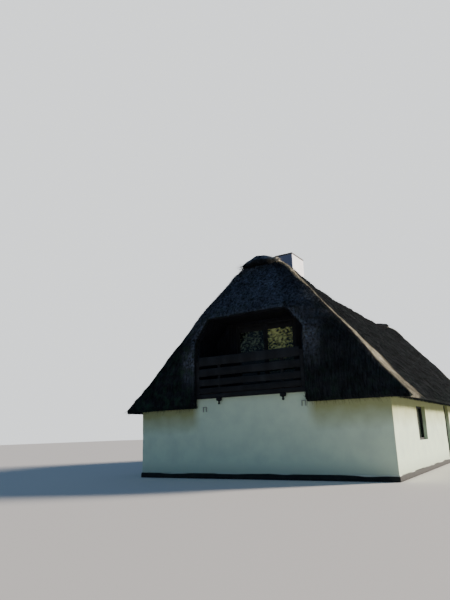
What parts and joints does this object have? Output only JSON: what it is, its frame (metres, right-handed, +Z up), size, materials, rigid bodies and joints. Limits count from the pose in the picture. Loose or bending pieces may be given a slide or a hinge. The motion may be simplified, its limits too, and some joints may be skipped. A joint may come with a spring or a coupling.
{
  "type": "thatched cottage",
  "caption": "Limewashed cottage with a steep hipped thatched roof, a ridge chimney, and a dark timber loggia with a board railing let into the thatch of its gable.",
  "frame": {"origin": "on the ground, at the middle of the house's length and width", "axes": "+Z up, -Y towards the loggia gable, +X to the right of somebody who looks at that gable"},
  "size_m": [9.1516, 16.4585, 7.48],
  "materials": {
    "limewash": "matt limewash over rough render",
    "chimney_render": "matt limewash over brick",
    "tar": "tarred masonry, satin",
    "slate": "weathered, matt",
    "thatch": "weathered reed, matt",
    "heather": "ragged, matt",
    "stained_timber": "dark stained, satin",
    "loggia_boards": "dark stained, matt",
    "joinery": "dark stained, satin",
    "glass": "clear, gloss",
    "iron": "wrought, matt",
    "floor_slab": "plain, matt",
    "floor_timber": "plain boards, matt"
  },
  "bodies": {
    "root": {"plinth": "tar", "ground_floor": "floor_slab", "upper_floor": "floor_timber", "front_wall": "limewash", "rear_wall": "limewash", "left_wall": "limewash", "right_wall": "limewash", "entrance_frame": "joinery", "entrance_door": "stained_timber", "chimney_stack": "chimney_render", "chimney_cap": "slate", "thatch_left": "thatch", "thatch_right": "thatch", "thatch_front_left": "thatch", "thatch_front_right": "thatch", "thatch_hood": "thatch", "thatch_rear": "thatch", "ridge_cap": "heather", "loggia_left_wall": "loggia_boards", "loggia_right_wall": "loggia_boards", "loggia_ceiling": "loggia_boards", "loggia_back_wall": "loggia_boards", "loggia_door_frame": "joinery", "loggia_door_left": "joinery", "loggia_door_right": "joinery", "loggia_glass_left": "glass", "loggia_glass_right": "glass", "balcony_beam": "stained_timber", "wall_staple_left": "iron", "wall_staple_right": "iron", "beam_pendant_left": "stained_timber", "beam_pendant_right": "stained_timber", "rail_board_1": "stained_timber", "rail_board_2": "stained_timber", "rail_board_3": "stained_timber", "rail_board_4": "stained_timber", "rail_post_left_end": "stained_timber", "rail_post_left": "stained_timber", "rail_post_right": "stained_timber", "rail_post_right_end": "stained_timber", "window_frame_left_1": "joinery", "window_glass_left_1": "glass", "window_frame_left_2": "joinery", "window_glass_left_2": "glass", "window_frame_left_3": "joinery", "window_glass_left_3": "glass", "window_frame_right_1": "joinery", "window_glass_right_1": "glass", "window_frame_right_2": "joinery", "window_glass_right_2": "glass"}
  },
  "joints": []
}
